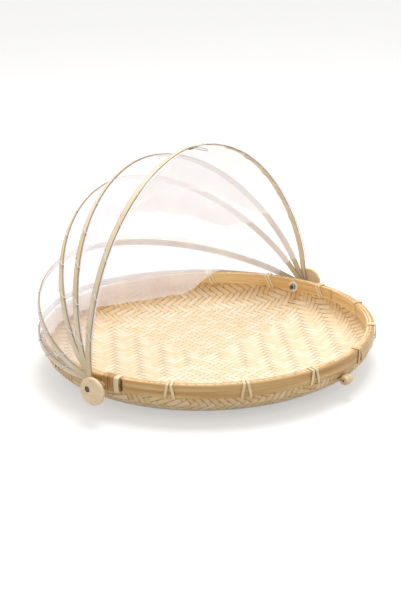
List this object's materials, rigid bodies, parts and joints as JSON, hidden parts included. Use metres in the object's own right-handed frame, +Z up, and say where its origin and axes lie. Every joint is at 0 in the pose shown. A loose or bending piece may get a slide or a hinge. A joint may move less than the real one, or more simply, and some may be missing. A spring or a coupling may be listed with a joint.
{
  "type": "covered food basket",
  "caption": "Shallow round woven bamboo tray with a folding net cover on bent bamboo hoops that swing on two side pivots.",
  "frame": {"origin": "centre of the flat underside of the woven tray", "axes": "+Z up; X along the hinge axis of the cover, through both side pivots; -Y is the front, where the bead is, and the cover folds back towards +Y"},
  "size_m": [0.3574, 0.335, 0.2119],
  "materials": {
    "bamboo_mat": "split bamboo, woven, matt",
    "bamboo_strip": "bent bamboo strip, satin",
    "cane": "split cane, satin",
    "bamboo_hoop": "bent bamboo strip, satin",
    "turned_wood": "pale turned wood, plain",
    "net": "fine white net",
    "thread": "white sewing thread",
    "cord": "thin brown cord",
    "bolt_steel": "plain steel",
    "washer_plastic": "pale plastic"
  },
  "bodies": {
    "tray": {"woven_tray": "bamboo_mat", "outer_rim_strip": "bamboo_strip", "inner_rim_strip": "bamboo_strip", "toggle_bead": "turned_wood", "bead_cord": "cord", "cane_lashing_01": "cane", "cane_lashing_02": "cane", "cane_lashing_03": "cane", "cane_lashing_04": "cane", "cane_lashing_05": "cane", "cane_lashing_06": "cane", "cane_lashing_07": "cane", "cane_lashing_08": "cane", "cane_lashing_09": "cane", "cane_lashing_10": "cane", "cane_lashing_11": "cane", "cane_lashing_12": "cane", "cane_lashing_13": "cane", "cane_lashing_14": "cane", "splice_wrap_1": "cane", "splice_wrap_2": "cane", "splice_wrap_3": "cane", "pivot_bolt_left": "bolt_steel", "pivot_nut_left": "bolt_steel", "pivot_disc_left": "turned_wood", "pivot_washer_left": "washer_plastic", "pivot_bolt_right": "bolt_steel", "pivot_nut_right": "bolt_steel", "pivot_disc_right": "turned_wood", "pivot_washer_right": "washer_plastic"},
    "rear_frame": {"hoop_rear": "bamboo_hoop", "lacing_rear": "thread"},
    "fourth_frame": {"hoop_fourth": "bamboo_hoop", "lacing_fourth": "thread", "net_gore_fourth": "net"},
    "third_frame": {"hoop_third": "bamboo_hoop", "lacing_third": "thread", "net_gore_third": "net"},
    "second_frame": {"hoop_second": "bamboo_hoop", "lacing_second": "thread", "net_gore_second": "net"},
    "front_frame": {"hoop_front": "bamboo_hoop", "lacing_front": "thread", "net_gore_front": "net", "net_front_hem": "net", "loop_tab": "cord", "closing_loop": "cord"}
  },
  "joints": [
    {"name": "rear_hoop_hinge", "type": "hinge", "parent": "tray", "child": "rear_frame", "pos_m": [0, 0, 0.031], "axis": [1, 0, 0], "range_deg": [-5, 3]},
    {"name": "fourth_hoop_hinge", "type": "hinge", "parent": "rear_frame", "child": "fourth_frame", "pos_m": [0, 0, 0.031], "axis": [1, 0, 0], "range_deg": [-15.3, 28.2], "deforming": ["net_gore_fourth"]},
    {"name": "third_hoop_hinge", "type": "hinge", "parent": "fourth_frame", "child": "third_frame", "pos_m": [0, 0, 0.031], "axis": [1, 0, 0], "range_deg": [-32.5, 11], "deforming": ["net_gore_third"]},
    {"name": "second_hoop_hinge", "type": "hinge", "parent": "third_frame", "child": "second_frame", "pos_m": [0, 0, 0.031], "axis": [1, 0, 0], "range_deg": [-15.5, 28], "deforming": ["net_gore_second"]},
    {"name": "front_hoop_hinge", "type": "hinge", "parent": "second_frame", "child": "front_frame", "pos_m": [0, 0, 0.031], "axis": [1, 0, 0], "range_deg": [-19.3, 24.2], "deforming": ["net_gore_front"]}
  ]
}
